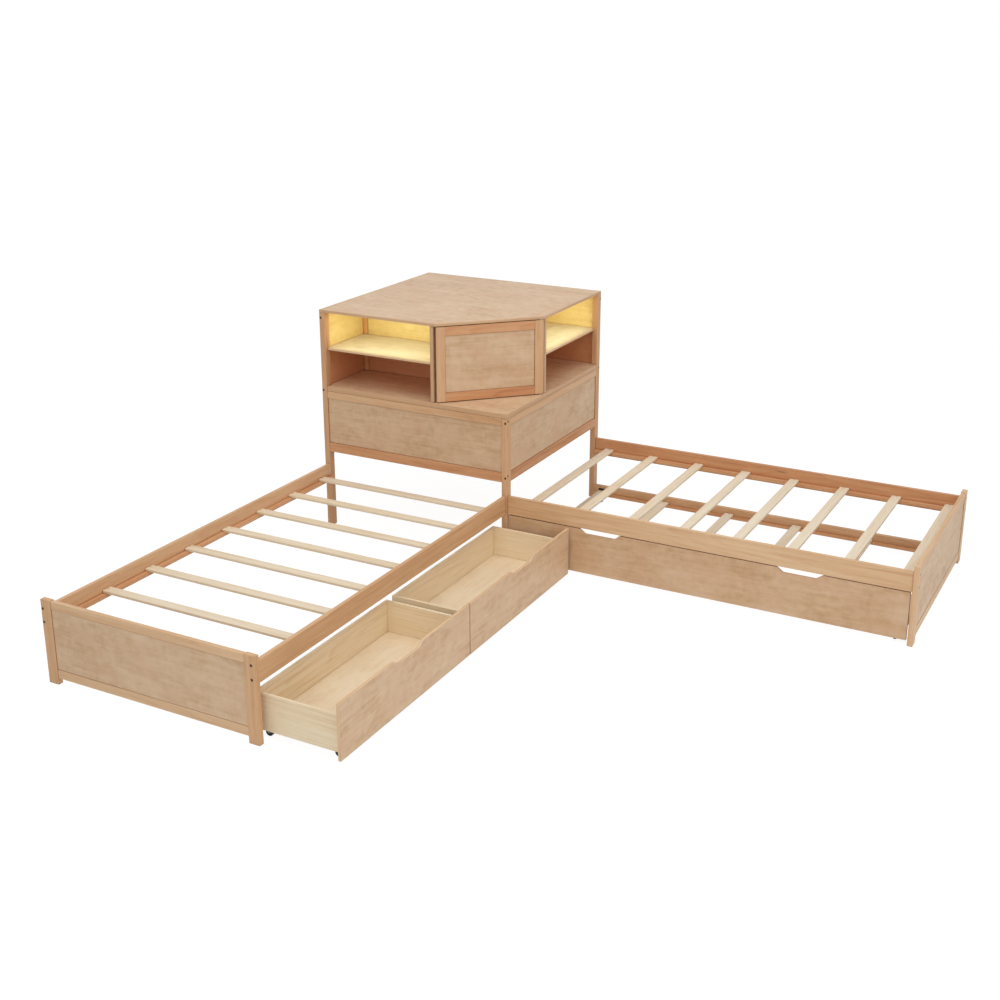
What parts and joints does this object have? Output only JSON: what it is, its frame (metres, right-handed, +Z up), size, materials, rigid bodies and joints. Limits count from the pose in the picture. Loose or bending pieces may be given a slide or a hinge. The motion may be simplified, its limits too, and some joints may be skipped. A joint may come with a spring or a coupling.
{
  "type": "l-shaped platform bed",
  "caption": "Twin platform beds at right angles, joined by a corner desk with a lit hutch, with roll-out drawers under one bed and a roll-out trundle under the other.",
  "frame": {"origin": "middle of the footprint on the floor", "axes": "+Z up; the left bed runs towards -Y and the right bed towards +X from the corner unit, which stands in the -X +Y corner"},
  "size_m": [3.024, 3.024, 1.152],
  "materials": {
    "frame_wood": "satin lacquered tan wood",
    "panel_wood": "satin wood-grain board",
    "slat_wood": "pale planed pine",
    "black_plastic": "moulded black nylon",
    "steel": "zinc-plated steel",
    "light_cover": "frosted light diffuser, lit warm yellow"
  },
  "bodies": {
    "bed": {"corner_post_left": "frame_wood", "corner_post_front": "frame_wood", "corner_post_right": "frame_wood", "corner_post_rear": "frame_wood", "desk_board": "panel_wood", "hutch_board": "panel_wood", "left_headboard_top_rail": "frame_wood", "left_headboard_bottom_rail": "frame_wood", "left_headboard_panel": "panel_wood", "right_headboard_top_rail": "frame_wood", "right_headboard_bottom_rail": "frame_wood", "right_headboard_panel": "panel_wood", "left_wall": "panel_wood", "rear_wall": "panel_wood", "left_divider": "panel_wood", "right_divider": "panel_wood", "left_bay_back": "panel_wood", "right_bay_back": "panel_wood", "left_shelf": "panel_wood", "right_shelf": "panel_wood", "left_bay_light": "light_cover", "right_bay_light": "light_cover", "door_pivot_low": "steel", "door_pivot_top": "steel", "left_footboard_frame": "frame_wood", "left_footboard_panel": "panel_wood", "left_bed_outer_rail": "frame_wood", "left_bed_inner_rail": "frame_wood", "left_slats": "slat_wood", "right_footboard_frame": "frame_wood", "right_footboard_panel": "panel_wood", "right_bed_outer_rail": "frame_wood", "right_bed_inner_rail": "frame_wood", "right_slats": "slat_wood"},
    "door": {"door_frame": "frame_wood", "door_panel": "panel_wood"},
    "drawer_1": {"drawer_1_front": "panel_wood", "drawer_1_box": "slat_wood", "drawer_1_floor": "slat_wood"},
    "drawer_2": {"drawer_2_front": "panel_wood", "drawer_2_box": "slat_wood", "drawer_2_floor": "slat_wood"},
    "trundle": {"trundle_front": "panel_wood", "trundle_back_rail": "frame_wood", "trundle_left_rail": "frame_wood", "trundle_right_rail": "frame_wood", "trundle_slats": "slat_wood"},
    "drawer_1_caster_1": {"drawer_1_wheel_1": "black_plastic"},
    "drawer_1_caster_2": {"drawer_1_wheel_2": "black_plastic"},
    "drawer_1_caster_3": {"drawer_1_wheel_3": "black_plastic"},
    "drawer_1_caster_4": {"drawer_1_wheel_4": "black_plastic"},
    "drawer_2_caster_1": {"drawer_2_wheel_1": "black_plastic"},
    "drawer_2_caster_2": {"drawer_2_wheel_2": "black_plastic"},
    "drawer_2_caster_3": {"drawer_2_wheel_3": "black_plastic"},
    "drawer_2_caster_4": {"drawer_2_wheel_4": "black_plastic"},
    "trundle_caster_1": {"trundle_wheel_1": "black_plastic"},
    "trundle_caster_2": {"trundle_wheel_2": "black_plastic"},
    "trundle_caster_3": {"trundle_wheel_3": "black_plastic"},
    "trundle_caster_4": {"trundle_wheel_4": "black_plastic"}
  },
  "joints": [
    {"name": "door_hinge", "type": "hinge", "parent": "bed", "child": "door", "pos_m": [-0.46497, 0.83476, 0.947], "axis": [0, 0, 1], "range_deg": [0, 110]},
    {"name": "drawer_1_slide", "type": "slide", "parent": "bed", "child": "drawer_1", "axis": [1, 0, 0], "range_m": [-0.344, 0.04]},
    {"name": "drawer_2_slide", "type": "slide", "parent": "bed", "child": "drawer_2", "axis": [1, 0, 0], "range_m": [-0.344, 0.04]},
    {"name": "trundle_slide", "type": "slide", "parent": "bed", "child": "trundle", "axis": [0, -1, 0], "range_m": [-0.95, 0.01]},
    {"name": "drawer_1_roll_1", "type": "hinge", "parent": "drawer_1", "child": "drawer_1_caster_1", "pos_m": [-0.464, -1.428, 0.017], "axis": [0, 1, 0], "continuous": true},
    {"name": "drawer_1_roll_2", "type": "hinge", "parent": "drawer_1", "child": "drawer_1_caster_2", "pos_m": [-0.148, -1.428, 0.017], "axis": [0, 1, 0], "continuous": true},
    {"name": "drawer_1_roll_3", "type": "hinge", "parent": "drawer_1", "child": "drawer_1_caster_3", "pos_m": [-0.464, -0.57, 0.017], "axis": [0, 1, 0], "continuous": true},
    {"name": "drawer_1_roll_4", "type": "hinge", "parent": "drawer_1", "child": "drawer_1_caster_4", "pos_m": [-0.148, -0.57, 0.017], "axis": [0, 1, 0], "continuous": true},
    {"name": "drawer_2_roll_1", "type": "hinge", "parent": "drawer_2", "child": "drawer_2_caster_1", "pos_m": [-0.464, -0.47, 0.017], "axis": [0, 1, 0], "continuous": true},
    {"name": "drawer_2_roll_2", "type": "hinge", "parent": "drawer_2", "child": "drawer_2_caster_2", "pos_m": [-0.148, -0.47, 0.017], "axis": [0, 1, 0], "continuous": true},
    {"name": "drawer_2_roll_3", "type": "hinge", "parent": "drawer_2", "child": "drawer_2_caster_3", "pos_m": [-0.464, 0.388, 0.017], "axis": [0, 1, 0], "continuous": true},
    {"name": "drawer_2_roll_4", "type": "hinge", "parent": "drawer_2", "child": "drawer_2_caster_4", "pos_m": [-0.148, 0.388, 0.017], "axis": [0, 1, 0], "continuous": true},
    {"name": "trundle_roll_1", "type": "hinge", "parent": "trundle", "child": "trundle_caster_1", "pos_m": [-0.3783, 0.496, 0.017], "axis": [1, 0, 0], "continuous": true},
    {"name": "trundle_roll_2", "type": "hinge", "parent": "trundle", "child": "trundle_caster_2", "pos_m": [-0.3783, 1.421, 0.017], "axis": [1, 0, 0], "continuous": true},
    {"name": "trundle_roll_3", "type": "hinge", "parent": "trundle", "child": "trundle_caster_3", "pos_m": [1.4283, 0.496, 0.017], "axis": [1, 0, 0], "continuous": true},
    {"name": "trundle_roll_4", "type": "hinge", "parent": "trundle", "child": "trundle_caster_4", "pos_m": [1.4283, 1.421, 0.017], "axis": [1, 0, 0], "continuous": true}
  ],
  "couplings": [
    {"joint": "drawer_1_roll_1", "follows": "drawer_1_slide", "rad_per_m": 58.824},
    {"joint": "drawer_1_roll_2", "follows": "drawer_1_slide", "rad_per_m": 58.824},
    {"joint": "drawer_1_roll_3", "follows": "drawer_1_slide", "rad_per_m": 58.824},
    {"joint": "drawer_1_roll_4", "follows": "drawer_1_slide", "rad_per_m": 58.824},
    {"joint": "drawer_2_roll_1", "follows": "drawer_2_slide", "rad_per_m": 58.824},
    {"joint": "drawer_2_roll_2", "follows": "drawer_2_slide", "rad_per_m": 58.824},
    {"joint": "drawer_2_roll_3", "follows": "drawer_2_slide", "rad_per_m": 58.824},
    {"joint": "drawer_2_roll_4", "follows": "drawer_2_slide", "rad_per_m": 58.824},
    {"joint": "trundle_roll_1", "follows": "trundle_slide", "rad_per_m": 58.824},
    {"joint": "trundle_roll_2", "follows": "trundle_slide", "rad_per_m": 58.824},
    {"joint": "trundle_roll_3", "follows": "trundle_slide", "rad_per_m": 58.824},
    {"joint": "trundle_roll_4", "follows": "trundle_slide", "rad_per_m": 58.824}
  ]
}
